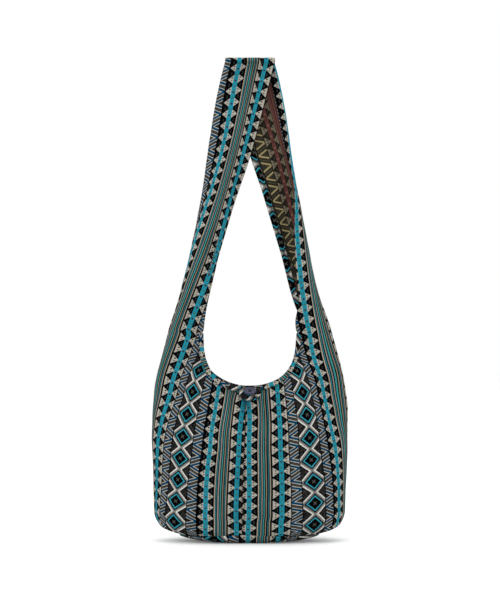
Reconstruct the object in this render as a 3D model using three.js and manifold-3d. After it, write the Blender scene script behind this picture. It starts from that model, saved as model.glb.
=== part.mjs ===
// Crossbody sling bag sewn from woven cloth. Millimetres, +Z up, the front faces -Y,
// origin at the middle of the base, on the surface that the bag stands on.
//
// Two long cloth panels make the bag. Each one wraps half of the body, from the centre front
// seam round the side to the centre back seam, and runs on as an arm of the strap. The arms
// meet in a seam at the crown, where the strap is folded over whatever carries it. The left arm
// comes down in front of it and the right arm behind it, so the two arms turn different ways.
import * as THREE from "three";
import Module from "manifold-3d";
import { mergeVertices } from "three/addons/utils/BufferGeometryUtils.js";

const wasm = await Module();
wasm.setup();

// Cloth
const clothThickness = 2;
const hemThickness = 1.6; // second layer where an edge of the strap is turned in
const hemWidth = 12;
const seamGap = 0.3; // clearance between pieces that are sewn to each other

// Body
const baseHalfLength = 123; // base seam at the two ends
const baseFlatHalfLength = 42; // the flat that the bag stands on
const baseFlatHalfDepth = 34;
const baseSquareness = 1.12; // exponent of the curve from the seam to the flat: 1 is straight
const seamHeight = 11; // base seam at the centre front
const seamRise = 8; // how much higher the base seam is at the two ends
const cornerHalfWidth = 144.5;
const cornerHeight = 58;
const bodyHalfWidth = 149;
const bellyHeight = 150;
const bellyBulge = 0.04; // extra depth in the middle of the body, as a share

// Section of the body: a round side fold, then a gentle slope up to the flat of the front
const baseFoldRadius = 28;
const baseFoldBend = 52; // degrees that the cloth turns in the side fold, of 90 to the front
const bellyFoldRadius = 30;
const bellyFoldBend = 45;
const mouthFoldRadius = 20;
const mouthFoldBend = 62;
const slopeRadius = 120;

// Mouth, a U cut down between the two roots of the strap
const mouthHeight = 238;
const mouthHalfWidth = 70;
const mouthSideHalfWidth = 143;
const mouthSquareness = 2.3; // exponent of the U: 2 is an ellipse
const pinchHalfGap = 10; // half the distance between the rims where the button holds them
const pinchHalfLength = 34;
const pinchDrop = 78;

// Strap. Its cloth is bent round a fold line that starts at the side of the body.
const rootHeight = 324;
const shoulderRadius = 23;
const strapFrontCloth = 36; // from the fold line to the front edge of an arm
const strapBackCloth = 51;
const crownFrontCloth = 34;
const crownBackCloth = 42;
const crownHeight = 735; // middle of the cloth on top of the crown
const crownRadius = 7;
const crownFlat = 6; // half the flat on top of the crown

// Mouth binding
const bindingWidth = 8;
const bindingThickness = 1.6;
const bindingGap = 1.05; // room for the rim inside the folded strip

// Button and loop
const buttonRadius = 9.8;
const buttonThickness = 3;
const buttonRimWidth = 2.2;
const buttonDish = 0.8;
const buttonHoleRadius = 1.1;
const buttonHoleOffset = 1.55;
const buttonTilt = 60; // degrees: the loop below pushes the face upwards
const buttonDrop = 8; // button centre below the rim
const buttonStandOff = 13.5; // button centre in front of the cloth
const threadRadius = 0.6;
const shankRadius = 1.5;
const knotRadius = 2.2;
const loopHalfWidth = 3.6;
const loopHalfThickness = 2.6;
const loopHalfSpan = 13.8;
const loopDrop = 20; // lowest point of the loop below the rim
const loopSlack = 1.6; // room between the loop and the bound rim

// Facets
const mouthColumns = 10; // from the centre seam to the edge of the strap
const strapColumns = 6; // from the edge of the strap to the fold line
const bodyRows = 14;
const armRows = 26;
const crownRows = 3;
const baseSteps = 4;
const loopSteps = 28;
const loopSides = 10;

const { clamp, lerp, smoothstep, degToRad } = THREE.MathUtils;
const vec = (x, y, z) => new THREE.Vector3(x, y, z);
const front = vec(0, -1, 0);
const crownStart = crownHeight - crownRadius;
const crownHalfDepth = crownFlat + crownRadius;

// A value that changes smoothly with height and runs through the values given at a few
// heights, without swinging past any of them.
function profile(...points) {
  const last = points.length - 1;
  const slopes = points.slice(1).map(([h, v], k) => (v - points[k][1]) / (h - points[k][0]));
  const tangents = points.map((_, k) => {
    if (k === 0 || k === last) return slopes[Math.min(k, last - 1)];
    const [below, above] = [slopes[k - 1], slopes[k]];
    return below * above > 0 ? (2 * below * above) / (below + above) : 0;
  });
  return (height) => {
    const found = points.findIndex(([h]) => height <= h);
    const k = found < 0 ? last : Math.max(1, found);
    const [[h0, v0], [h1, v1]] = [points[k - 1], points[k]];
    const t = clamp((height - h0) / (h1 - h0), 0, 1);
    const eased = t * t * (3 - 2 * t);
    const bow = (h1 - h0) * t * (1 - t) * (tangents[k - 1] * (1 - t) - tangents[k] * t);
    return lerp(v0, v1, eased) + bow;
  };
}

// Heights of the arm between its root and the crown
const armLow = lerp(rootHeight, crownStart, 0.14);
const armMiddle = lerp(rootHeight, crownStart, 0.32);
const armUpper = lerp(rootHeight, crownStart, 0.5);
const armHigh = lerp(rootHeight, crownStart, 0.7);
const armHeights = [rootHeight, armLow, armMiddle, armUpper, armHigh];

// Distance of the side fold from the middle of the bag. The body is alike on both sides.
const bodyFold = [
  [0, baseHalfLength * 0.72],
  [seamHeight + seamRise, baseHalfLength],
  [lerp(seamHeight + seamRise, cornerHeight, 0.45), lerp(baseHalfLength, cornerHalfWidth, 0.72)],
  [cornerHeight, cornerHalfWidth],
  [bellyHeight, bodyHalfWidth],
  [mouthHeight, mouthSideHalfWidth],
];
const straightBody = [[seamHeight, 0], [mouthHeight, 0]];
const crownMiddle = (crownBackCloth - crownFrontCloth) / 2;

// A value along the body, then up an arm as shares of a size, to its end at the crown.
function upArm(body, size, shares, end) {
  const arm = shares.map((share, k) => [armHeights[k], share * size]);
  return profile(...body, ...arm, [crownStart, end]);
}

// The way of each fold line: out from the middle, to the back (minus is to the front), and how
// far the cloth there has turned from facing out to facing the front, in degrees.
const arms = {
  left: {
    side: -1,
    foldX: upArm(bodyFold, bodyHalfWidth, [0.79, 0.655, 0.483, 0.326, 0.151], -crownMiddle),
    foldY: upArm(straightBody, shoulderRadius, [-0.61, -1.13, -1.13, -0.96, -0.78],
      -crownHalfDepth),
    turn: upArm(straightBody, 1, [30, 58, 72, 76, 84], 90),
  },
  right: {
    side: 1,
    foldX: upArm(bodyFold, bodyHalfWidth, [0.8, 0.725, 0.59, 0.463, 0.248], crownMiddle),
    foldY: upArm(straightBody, shoulderRadius, [-0.43, -0.26, 0.26, 0.65, 0.78], crownHalfDepth),
    turn: upArm(straightBody, 1, [22, 9, -15, -36, -64], -90),
  },
};

// Radius of the side fold; how far the cloth has turned, in degrees, at the end of the fold and
// at the end of the slope; and how far a row of the cloth rises towards the outside, in degrees.
const armBend = [[rootHeight, 86], [armMiddle, 74], [armUpper, 56], [armHigh, 26], [crownStart, 0]];
const foldRadius = profile([seamHeight, baseFoldRadius], [bellyHeight, bellyFoldRadius],
  [mouthHeight, mouthFoldRadius], [rootHeight, shoulderRadius], [crownStart, shoulderRadius]);
const foldBend = profile([seamHeight, baseFoldBend], [bellyHeight, bellyFoldBend],
  [mouthHeight, mouthFoldBend], ...armBend);
const fullBend = profile([seamHeight, 90], [mouthHeight, 90], ...armBend);
const rowTilt = profile([seamHeight, 0], [mouthHeight, 0], [rootHeight, 8], [armMiddle, 14],
  [armHigh, 10], [crownStart, 0]);

// Where the cloth is at a distance from the fold line: how far it has gone sideways, which is
// towards the front, and inwards.
function section(height, distance) {
  const radius = foldRadius(height);
  const bend = degToRad(Math.max(0, foldBend(height)));
  const slope = Math.max(0, degToRad(fullBend(height)) - bend);
  const bent = Math.min(distance / radius, bend);
  const sloped = clamp((distance - bent * radius) / slopeRadius, 0, slope);
  const turned = bent + sloped;
  const straight = distance - bent * radius - sloped * slopeRadius;
  const sideways = radius * Math.sin(bent) + slopeRadius * (Math.sin(turned) - Math.sin(bent));
  const inwards = radius * (1 - Math.cos(bent)) + slopeRadius * (Math.cos(bent) - Math.cos(turned));
  return {
    sideways: sideways + straight * Math.cos(turned),
    inwards: inwards + straight * Math.sin(turned),
  };
}

// Cloth from the side fold to the centre seam, at a height of the body
function halfGirth(height) {
  const bend = degToRad(foldBend(height));
  const curved = foldRadius(height) * bend + slopeRadius * (Math.PI / 2 - bend);
  return curved + arms.left.foldX(height) - section(height, curved).inwards - seamGap / 2;
}

// Half the depth of the flat front at a height of the body
const halfDepth = (height) => section(height, halfGirth(height)).sideways;
const baseHalfDepth = halfDepth(seamHeight);
const mouthHalfDepth = halfDepth(mouthHeight);

// Cloth from the fold line to the front and to the back edge of an arm
const rootCloth = halfGirth(rootHeight) - mouthHalfWidth;
const edgeCloth = (lowCloth, strapCloth, crownCloth) => profile([rootHeight, rootCloth],
  [armLow, lowCloth], [armMiddle, strapCloth], [crownStart, crownCloth]);
const lowFrontCloth = lerp(rootCloth, strapFrontCloth, 0.7);
const lowBackCloth = lerp(rootCloth, strapBackCloth, 0.3);
const frontCloth = edgeCloth(lowFrontCloth, strapFrontCloth, crownFrontCloth);
const backCloth = edgeCloth(lowBackCloth, strapBackCloth, crownBackCloth);

// The closed button draws the two rims together; above the base the middle bulges.
function settle(point) {
  const { x, z } = point;
  const near = Math.exp(-((x / pinchHalfLength) ** 2));
  const pinch = near * smoothstep(z, mouthHeight - pinchDrop, mouthHeight);
  const middle = 1 - Math.min(1, (x / bodyHalfWidth) ** 2);
  const bulge = smoothstep(z, seamHeight, bellyHeight) - smoothstep(z, bellyHeight, mouthHeight);
  point.y *= 1 - (1 - pinchHalfGap / mouthHalfDepth) * pinch + bellyBulge * middle * bulge;
  return point;
}

// A point of the cloth: along is the height of the fold line, across the distance from the fold
// line on the cloth, positive towards the front.
function clothPoint(arm, along, across) {
  const turn = degToRad(arm.turn(along));
  const tilt = degToRad(rowTilt(along));
  const { sideways, inwards } = section(along, Math.abs(across));
  const outward = vec(arm.side * Math.cos(tilt), 0, Math.sin(tilt));
  const blend = (ofOutward, ofFront) =>
    outward.clone().multiplyScalar(ofOutward).addScaledVector(front, ofFront);
  const facing = blend(Math.cos(turn), Math.sin(turn));
  const edgeward = blend(-Math.sin(turn), Math.cos(turn));
  const fold = vec(arm.side * arm.foldX(along), arm.foldY(along), along);
  fold.addScaledVector(facing, -inwards);
  return settle(fold.addScaledVector(edgeward, Math.sign(across) * sideways));
}

// Across and along of the base seam and of the mouth, by the share of the way from the centre
// seam to the edge of the strap (0 to 1) and from there to the fold line (1 to 2).
const strapShareAtBase = 0.42;
function baseLine(share) {
  const toFold = share < 1 ? lerp(1, strapShareAtBase, share) : strapShareAtBase * (2 - share);
  const along = seamHeight + seamRise * (1 - toFold ** 2);
  return [halfGirth(along) * toFold, along];
}
function mouthLine(share) {
  if (share >= 1) return [rootCloth * (2 - share), rootHeight];
  const angle = share * Math.PI / 2;
  const power = 2 / mouthSquareness;
  const along = lerp(rootHeight, mouthHeight, Math.cos(angle) ** power);
  return [halfGirth(along) - mouthHalfWidth * Math.sin(angle) ** power, along];
}

const halfColumns = mouthColumns + strapColumns;
const columns = 2 * halfColumns + 1;
const rows = bodyRows + armRows + crownRows + 2;
const onCloth = (i, j) => i <= bodyRows || Math.abs(j - halfColumns) <= strapColumns;

// Column j of the panel: which half it is on, and its share of the way to the fold line.
function columnShare(j) {
  const fromSeam = halfColumns - Math.abs(j - halfColumns);
  const share = fromSeam < mouthColumns
    ? fromSeam / mouthColumns
    : 1 + (fromSeam - mouthColumns) / strapColumns;
  return { half: j <= halfColumns ? 1 : -1, share, fromEdge: fromSeam - mouthColumns };
}

// Distance on the cloth from the fold line in column j of the strap. The first column
// from an edge lies at the inner edge of the hem.
function strapAcross(along, j) {
  const { half, fromEdge } = columnShare(j);
  const cloth = half > 0 ? frontCloth(along) : backCloth(along);
  const hem = hemWidth * smoothstep(along, rootHeight, armLow);
  if (fromEdge === 0) return half * cloth;
  const evenly = cloth * (1 - fromEdge / strapColumns);
  const behindHem = (cloth - hemWidth) * (1 - (fromEdge - 1) / (strapColumns - 1));
  return half * lerp(evenly, behindHem, hem / hemWidth);
}

function panelPoint(arm, i, j) {
  const { half, share } = columnShare(j);
  if (i <= bodyRows) {
    const [lowAcross, lowAlong] = baseLine(share);
    const [highAcross, highAlong] = mouthLine(share);
    const rise = lerp(i / bodyRows, smoothstep(i, 0, bodyRows), 0.6); // closer rows at both seams
    const along = lerp(lowAlong, highAlong, rise);
    const across = share === 0 ? halfGirth(along) : lerp(lowAcross, highAcross, rise);
    return clothPoint(arm, along, half * across);
  }
  const step = i - bodyRows;
  if (step <= armRows) {
    const along = lerp(rootHeight, crownStart, step / armRows);
    return clothPoint(arm, along, strapAcross(along, j));
  }
  const overCrown = step - armRows;
  const angle = Math.min(1, overCrown / crownRows) * Math.PI / 2;
  const onBend = crownFlat + crownRadius * Math.cos(angle);
  const fromSeam = overCrown > crownRows ? seamGap / 2 : onBend;
  const height = crownStart + crownRadius * Math.sin(angle);
  return vec(crownMiddle + strapAcross(crownStart, j), arm.side * fromSeam, height);
}

// Direction out of the cloth at a point of the panel's grid.
function panelNormal(arm, grid, i, j) {
  const step = i - bodyRows - armRows;
  if (step > 0) {
    const angle = Math.min(1, step / crownRows) * Math.PI / 2;
    return vec(0, arm.side * Math.cos(angle), Math.sin(angle));
  }
  const at = (row, column) => (grid[row]?.[column] ?? grid[i][j]).clone();
  const up = at(i + 1, j).sub(at(i - 1, j));
  const round = at(i, j + 1).sub(at(i, j - 1));
  const normal = up.cross(round).multiplyScalar(-arm.side);
  if (j === 0 || j === columns - 1) normal.x = 0; // the centre seams lie in the plane x = 0
  return normal.normalize();
}

function panelGrid(arm) {
  const grid = Array.from({ length: rows }, (_, i) =>
    Array.from({ length: columns }, (_, j) => (onCloth(i, j) ? panelPoint(arm, i, j) : null)));
  const normals = grid.map((row, i) => row.map((point, j) => point && panelNormal(arm, grid, i, j)));
  return { grid, normals };
}

// Closed solids

function turnOutward(points, index) {
  let volume = 0;
  for (let i = 0; i < index.length; i += 3) {
    const [a, b, c] = [0, 1, 2].map((k) => points[index[i + k]]);
    volume += a.dot(b.clone().cross(c));
  }
  if (volume < 0) index.reverse();
  return new THREE.BufferGeometry().setFromPoints(points).setIndex(index);
}

// A wall between two grids of points. Cells with a missing corner are left open, and every
// border of the wall is closed by a strip between the two grids.
function wallSolid(outer, inner) {
  const points = [];
  const numbers = [outer, inner].map((grid) =>
    grid.map((row) => row.map((point) => (point ? points.push(point) - 1 : -1))));
  const cell = (i, j) => [[i, j], [i + 1, j], [i + 1, j + 1], [i, j + 1]];
  const solid = (i, j) => cell(i, j).every(([r, c]) => outer[r]?.[c]);
  const index = [];
  const quad = (a, b, c, d) => index.push(a, b, c, a, c, d);
  outer.forEach((row, i) => row.forEach((_, j) => {
    if (!solid(i, j)) return;
    const [top, below] = numbers.map((grid) => cell(i, j).map(([r, c]) => grid[r][c]));
    quad(...top);
    quad(...below.toReversed());
    [[i, j - 1], [i + 1, j], [i, j + 1], [i - 1, j]].forEach(([r, c], k) => {
      const next = (k + 1) % 4;
      if (!solid(r, c)) quad(top[next], top[k], below[k], below[next]);
    });
  }));
  return turnOutward(points, index);
}

// A skin through closed rings of points, with the first and the last ring capped.
// outline is the shape of a ring in its own plane, for the caps.
function ringSolid(rings, outline) {
  const sides = rings[0].length;
  const end = (rings.length - 1) * sides;
  const index = [];
  for (let start = 0; start < end; start += sides) {
    for (let j = 0; j < sides; j++) {
      const [a, b] = [start + j, start + (j + 1) % sides];
      index.push(a, b, b + sides, a, b + sides, a + sides);
    }
  }
  const reversed = THREE.ShapeUtils.isClockWise(outline);
  for (const corners of THREE.ShapeUtils.triangulateShape(outline, [])) {
    const [a, b, c] = reversed ? corners.toReversed() : corners;
    index.push(c, b, a, end + a, end + b, end + c);
  }
  return turnOutward(rings.flat(), index);
}

function toManifold(geometry) {
  const bare = geometry.clone().deleteAttribute("normal").deleteAttribute("uv");
  const merged = mergeVertices(bare, 1e-4);
  return new wasm.Manifold(new wasm.Mesh({
    numProp: 3,
    vertProperties: merged.getAttribute("position").array,
    triVerts: new Uint32Array(merged.index.array),
  }));
}

function toGeometry(manifold) {
  const { vertProperties, triVerts } = manifold.getMesh();
  return new THREE.BufferGeometry()
    .setAttribute("position", new THREE.BufferAttribute(vertProperties, 3))
    .setIndex(new THREE.BufferAttribute(triVerts, 1));
}

const group = new THREE.Group();
function add(name, geometry, colour, roughness, metalness = 0) {
  const material = new THREE.MeshStandardMaterial({ color: colour, roughness, metalness });
  const mesh = new THREE.Mesh(geometry, material);
  mesh.name = name;
  group.add(mesh);
}

const clothColour = 0x3f5f68;
const bindingColour = 0x4a5a60;
const buttonColour = 0x484a61;
const threadColour = 0x20242c;

// Panels

const panels = { left: panelGrid(arms.left), right: panelGrid(arms.right) };

for (const [name, { grid, normals }] of Object.entries(panels)) {
  const shifted = (amount) => grid.map((row, i) => row.map((point, j) =>
    point && point.clone().addScaledVector(normals[i][j], amount(i, j))));
  const hem = (i, j) => (i > bodyRows + 1 && columnShare(j).fromEdge < 2 ? hemThickness : 0);
  const outer = shifted(() => clothThickness / 2);
  const inner = shifted((i, j) => -clothThickness / 2 - hem(i, j));
  add(`${name}_panel`, wallSolid(outer, inner), clothColour, 0.9);
}

// Base, a shallow dish that is sewn to the bottom edges of the two panels

function bottomEdge({ grid, normals }, offset) {
  return grid[0].map((point, j) => point.clone().addScaledVector(normals[0][j], offset));
}

function baseRim(offset) {
  const left = bottomEdge(panels.left, offset).slice(0, -1);
  const right = bottomEdge(panels.right, offset).slice(1).reverse();
  const rim = [...left, ...right];
  rim[0].x = 0;
  rim[left.length].x = 0;
  return rim.map(({ x, y, z }) => vec(x, y, z - seamGap));
}

// One level of the dish, from the seam (angle 0) to the flat, which lies at the height of floor.
function baseRing(angle, offset, floor) {
  const power = 2 / baseSquareness;
  const inward = 1 - Math.cos(angle) ** power;
  const up = 1 - Math.sin(angle) ** power;
  return baseRim(offset).map(({ x, y, z }) => vec(
    lerp(x, x * baseFlatHalfLength / baseHalfLength, inward),
    lerp(y, y * baseFlatHalfDepth / baseHalfDepth, inward),
    lerp(floor, z, up),
  ));
}

const baseAngles = Array.from({ length: baseSteps + 1 }, (_, k) => k / baseSteps * Math.PI / 2);
const baseRings = [
  ...baseAngles.toReversed().map((angle) => baseRing(angle, clothThickness / 2, 0)),
  ...baseAngles.map((angle) => baseRing(angle, -clothThickness / 2, clothThickness)),
];
add("base_panel", ringSolid(baseRings, baseRing(0, 0, 0)), clothColour, 0.9);

// Bindings, folded strips over the front and the back rim of the mouth

const bindingInside = clothThickness / 2 + bindingGap;
const bindingOutside = bindingInside + bindingThickness;
const bindingNose = bindingGap + bindingThickness;
const bindingHalf = [ // from the middle of the fold along one leg; x points into the cloth
  [-bindingNose, 0.35 * bindingOutside],
  [-0.75 * bindingNose, 0.75 * bindingOutside],
  [0, bindingOutside],
  [bindingWidth, bindingOutside],
  [bindingWidth, bindingInside],
  [-bindingGap, bindingInside],
];
const bindingOutline = [
  ...bindingHalf,
  ...bindingHalf.toReversed().map(([x, y]) => [x, -y]),
].map(([x, y]) => new THREE.Vector2(x, y));

function rimOf({ grid, normals }, columnOf) {
  const rim = Array.from({ length: mouthColumns + 1 }, (_, m) => columnOf(m));
  return rim.map((j) => ({
    point: grid[bodyRows][j],
    below: grid[bodyRows - 1][j],
    normal: normals[bodyRows][j],
  }));
}

function binding(columnOf) {
  const [left, right] = [rimOf(panels.left, columnOf), rimOf(panels.right, columnOf)];
  const path = [...left.toReversed(), ...right.slice(1)];
  path[mouthColumns].point.x = 0;
  const rings = path.map(({ point, below, normal }, k) => {
    const ahead = path[Math.min(k + 1, path.length - 1)].point;
    const along = ahead.clone().sub(path[Math.max(k - 1, 0)].point);
    const inward = normal.clone().cross(along).normalize();
    if (inward.dot(below.clone().sub(point)) < 0) inward.negate();
    return bindingOutline.map(({ x, y }) =>
      point.clone().addScaledVector(inward, x).addScaledVector(normal, y));
  });
  return ringSolid(rings, bindingOutline);
}

add("front_binding", binding((m) => m), bindingColour, 0.9);
add("back_binding", binding((m) => columns - 1 - m), bindingColour, 0.9);

// Button, with its thread and the loop that closes over it

// Outer face of the cloth in front, at a distance from the centre seam
function clothAt(x, height) {
  const point = clothPoint(arms.left, height, halfGirth(height) - Math.abs(x));
  return point.setX(x).addScaledVector(front, clothThickness / 2);
}

// Outer face at the centre seam, where the button is sewn on
function seamAt(height) {
  const edge = panels.left.grid.slice(0, bodyRows + 1).map((row) => row[0]);
  const k = clamp(edge.findIndex((point) => point.z >= height), 1, bodyRows);
  const [low, high] = [edge[k - 1], edge[k]];
  const y = lerp(low.y, high.y, (height - low.z) / (high.z - low.z));
  const lean = Math.hypot(high.y - low.y, high.z - low.z) / (high.z - low.z);
  return vec(0, y - lean * clothThickness / 2, height);
}

const buttonCentre = seamAt(mouthHeight - buttonDrop).addScaledVector(front, buttonStandOff);
const tilt = degToRad(buttonTilt);
const buttonFacing = front.clone().multiplyScalar(Math.cos(tilt)).setZ(Math.sin(tilt));
const buttonFrame = new THREE.Matrix4()
  .makeBasis(vec(1, 0, 0), buttonFacing, vec(1, 0, 0).cross(buttonFacing))
  .setPosition(buttonCentre);

function cylinder(radius, bottom, top, [x, z], sides) {
  const upright = new THREE.CylinderGeometry(radius, radius, top - bottom, sides);
  return toManifold(upright.translate(x, (top + bottom) / 2, z));
}
const holePlaces = [[1, 1], [1, -1], [-1, -1], [-1, 1]].map((place) =>
  place.map((sign) => sign * buttonHoleOffset));

const half = buttonThickness / 2;
const dishRadius = buttonRadius - buttonRimWidth;
const disc = new THREE.LatheGeometry([
  [0, -half],
  [0.82 * buttonRadius, -half],
  [buttonRadius, -0.35 * half],
  [buttonRadius, 0.35 * half],
  [buttonRadius - 0.3 * buttonRimWidth, half],
  [dishRadius, half],
  [dishRadius - buttonDish, half - buttonDish],
  [0, half - buttonDish],
].map(([x, y]) => new THREE.Vector2(x, y)), 28);
const holes = holePlaces.map((place) =>
  cylinder(buttonHoleRadius, -buttonThickness, buttonThickness, place, 12));
const button = holes.reduce((rest, hole) => rest.subtract(hole), toManifold(disc));
add("button", toGeometry(button).applyMatrix4(buttonFrame), buttonColour, 0.35);

// The thread goes through the four holes, is knotted behind the button and ends at the cloth.
const knotDepth = -half - seamGap - knotRadius;
const threadTop = half - buttonDish + seamGap + threadRadius;
const strands = holePlaces.map((place) => cylinder(threadRadius, knotDepth, threadTop, place, 8));
const bars = [-1, 1].map((sign) => toManifold(
  new THREE.CylinderGeometry(threadRadius, threadRadius, 2 * (buttonHoleOffset + threadRadius), 8)
    .rotateZ(Math.PI / 2)
    .translate(0, threadTop, sign * buttonHoleOffset)));
const knot = toManifold(new THREE.SphereGeometry(knotRadius, 12, 8).translate(0, knotDepth, 0));
const knotPlace = vec(0, knotDepth, 0).applyMatrix4(buttonFrame);
const threadEnd = seamAt(knotPlace.z - shankRadius).y - seamGap;
const shank = toManifold(
  new THREE.CylinderGeometry(shankRadius, shankRadius, threadEnd - knotPlace.y, 10)
    .translate(0, (threadEnd + knotPlace.y) / 2, knotPlace.z));
const wound = wasm.Manifold.union([...strands, ...bars, knot]);
const placed = toManifold(toGeometry(wound).applyMatrix4(buttonFrame));
add("button_thread", toGeometry(placed.add(shank)), threadColour, 0.8);

// The loop is sewn on at the back rim, comes over both rims and lies round the button.
const loopLift = bindingNose + seamGap + loopHalfThickness + loopSlack;
const loopClearance = bindingOutside - clothThickness / 2 + seamGap + loopHalfThickness + loopSlack;
const onTop = (share, y) => vec(share * loopHalfSpan, y, mouthHeight + loopLift);
const inFront = (share, drop) => {
  const x = share * loopHalfSpan;
  return clothAt(x, mouthHeight - drop).addScaledVector(front, loopClearance);
};
const loopHalf = [
  inFront(0.72, 0.82 * loopDrop),
  inFront(1, 0.42 * loopDrop),
  inFront(0.97, 0).setZ(mouthHeight + 0.5 * loopLift),
  onTop(0.85, -1.2 * pinchHalfGap),
  onTop(0.7, 0),
  onTop(0.6, pinchHalfGap),
];
const mirrored = loopHalf.map((point) => point.clone().setX(-point.x));
const lowest = inFront(0, loopDrop);
const loopPath = new THREE.CatmullRomCurve3([...mirrored.reverse(), lowest, ...loopHalf]);
const loopSection = new THREE.EllipseCurve(0, 0, loopHalfWidth, loopHalfThickness);
const loopOutline = loopSection.getPoints(loopSides).slice(1);
const loopRings = loopPath.getSpacedPoints(loopSteps).map((point, k) => {
  const along = loopPath.getTangentAt(k / loopSteps);
  const away = point.clone().sub(vec(point.x, 0, mouthHeight - 0.7 * loopDrop));
  const across = away.cross(along).normalize();
  const out = along.cross(across).normalize();
  return loopOutline.map(({ x, y }) =>
    point.clone().addScaledVector(across, x).addScaledVector(out, y));
});
add("button_loop", ringSolid(loopRings, loopOutline), bindingColour, 0.9);

export default group;
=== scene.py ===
import math

import bmesh
import bpy
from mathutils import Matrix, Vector, noise


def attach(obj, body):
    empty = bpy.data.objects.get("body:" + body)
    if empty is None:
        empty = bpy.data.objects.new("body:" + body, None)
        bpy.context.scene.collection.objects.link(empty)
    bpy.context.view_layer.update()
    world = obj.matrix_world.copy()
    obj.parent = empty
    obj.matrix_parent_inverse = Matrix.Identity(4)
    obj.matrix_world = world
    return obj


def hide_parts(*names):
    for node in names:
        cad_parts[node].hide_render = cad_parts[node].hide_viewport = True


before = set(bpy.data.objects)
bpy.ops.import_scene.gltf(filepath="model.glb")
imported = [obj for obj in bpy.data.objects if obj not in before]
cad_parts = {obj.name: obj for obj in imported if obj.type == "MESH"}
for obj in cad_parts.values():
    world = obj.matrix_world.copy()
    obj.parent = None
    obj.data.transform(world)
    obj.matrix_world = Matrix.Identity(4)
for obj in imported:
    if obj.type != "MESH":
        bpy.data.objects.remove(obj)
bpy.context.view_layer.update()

scene = bpy.context.scene

# Cut and pose of the cloth, in metres and degrees
cloth = {
    "thickness": 0.0013,
    "smoothing": 1,
    "seamGap": 0.0003,
    "baseHalfLength": 0.106,
    "floorShare": 0.72,  # of that length, where the side folds would reach the floor
    "seamHeight": 0.0135,
    "seamDrop": 0.0035,  # the base seam is lower at its two ends
    "cornerHalfWidth": 0.1458,
    "cornerHeight": 0.046,
    "cornerRise": 0.39,  # a point between base seam and corner, by its shares of the way
    "cornerReach": 0.77,
    "bodyHalfWidth": 0.149,
    "widestHeight": 0.19,
    "bellyHeight": 0.15,
    "bellyBulge": 0.04,
    "baseFoldRadius": 0.028,  # the side fold is round, then a gentle slope leads to the front
    "baseFoldBend": 52,
    "bellyFoldRadius": 0.03,
    "bellyFoldBend": 45,
    "mouthFoldRadius": 0.02,
    "mouthFoldBend": 62,
    "slopeRadius": 0.12,
    "mouthHeight": 0.2345,
    "mouthHalfWidth": 0.078,
    "mouthSideHalfWidth": 0.145,
    "mouthSquareness": 2.35,
    "pinchHalfGap": 0.01,  # the button holds the two rims together
    "pinchHalfLength": 0.034,
    "pinchDrop": 0.078,
    "loopDip": 0.0028,  # the loop presses the front rim down
    "loopDipHalf": 0.019,
    "loopDipDrop": 0.045,
    "frontSeam": ((0, -0.0125), (0.035, -0.0118), (0.212, -0.0062), (0.234, -0.0048), (0.27, 0)),
    "frontSeamReach": 0.075,  # the cloth beside the front seam comes along with it
    "frontBlend": 0.006,  # from the middle of the mouth to where the front counts in full
    "rootHeight": 0.324,
    "armShares": (0.14, 0.32, 0.5, 0.7),  # heights of an arm between the root and the crown
    "shoulderRadius": 0.023,
    "strapFront": 0.0295,
    "strapBack": 0.0495,
    "crownFront": 0.031,
    "crownBack": 0.042,
    "crownHeight": 0.7375,
    "crownRadius": 0.007,
    "crownFlat": 0.006,
    "strapShareAtBase": 0.42,
}
forward = Vector((0, -1, 0))
crownStart = cloth["crownHeight"] - cloth["crownRadius"]
crownHalfDepth = cloth["crownFlat"] + cloth["crownRadius"]
crownMiddle = (cloth["crownBack"] - cloth["crownFront"]) / 2


def lerp(a, b, t):
    return a + (b - a) * t


def ease(x, low, high):
    t = min(1, max(0, (x - low) / (high - low)))
    return t * t * (3 - 2 * t)


# A value that follows the height smoothly through a few points, without overshooting them
def profile(*points):
    last = len(points) - 1
    slopes = [(b[1] - a[1]) / (b[0] - a[0]) for a, b in zip(points, points[1:])]
    tangents = [slopes[0]]
    for low, high in zip(slopes, slopes[1:]):
        tangents.append(2 * low * high / (low + high) if low * high > 0 else 0)
    tangents.append(slopes[-1])

    def value(height):
        k = next((n for n in range(1, last + 1) if height <= points[n][0]), last)
        (h0, v0), (h1, v1) = points[k - 1], points[k]
        t = min(1, max(0, (height - h0) / (h1 - h0)))
        bow = (h1 - h0) * t * (1 - t) * (tangents[k - 1] * (1 - t) - tangents[k] * t)
        return lerp(v0, v1, t * t * (3 - 2 * t)) + bow

    return value


root, mouth, belly = cloth["rootHeight"], cloth["mouthHeight"], cloth["bellyHeight"]
seam = cloth["seamHeight"]
seamEnd = seam - cloth["seamDrop"]
armHeights = [root] + [lerp(root, crownStart, share) for share in cloth["armShares"]]
armLow, armMiddle, armUpper, armHigh = armHeights[1:]
bodyFold = [
    (0, cloth["baseHalfLength"] * cloth["floorShare"]),
    (seamEnd, cloth["baseHalfLength"]),
    (lerp(seamEnd, cloth["cornerHeight"], cloth["cornerRise"]),
     lerp(cloth["baseHalfLength"], cloth["cornerHalfWidth"], cloth["cornerReach"])),
    (cloth["cornerHeight"], cloth["cornerHalfWidth"]),
    (cloth["widestHeight"], cloth["bodyHalfWidth"]),
    (mouth, cloth["mouthSideHalfWidth"]),
]


# A value along the body, then up an arm as shares of a size, to its end at the crown
def upArm(body, size, shares, end):
    return profile(*body, *((h, share * size) for h, share in zip(armHeights, shares)),
                   (crownStart, end))


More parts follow.
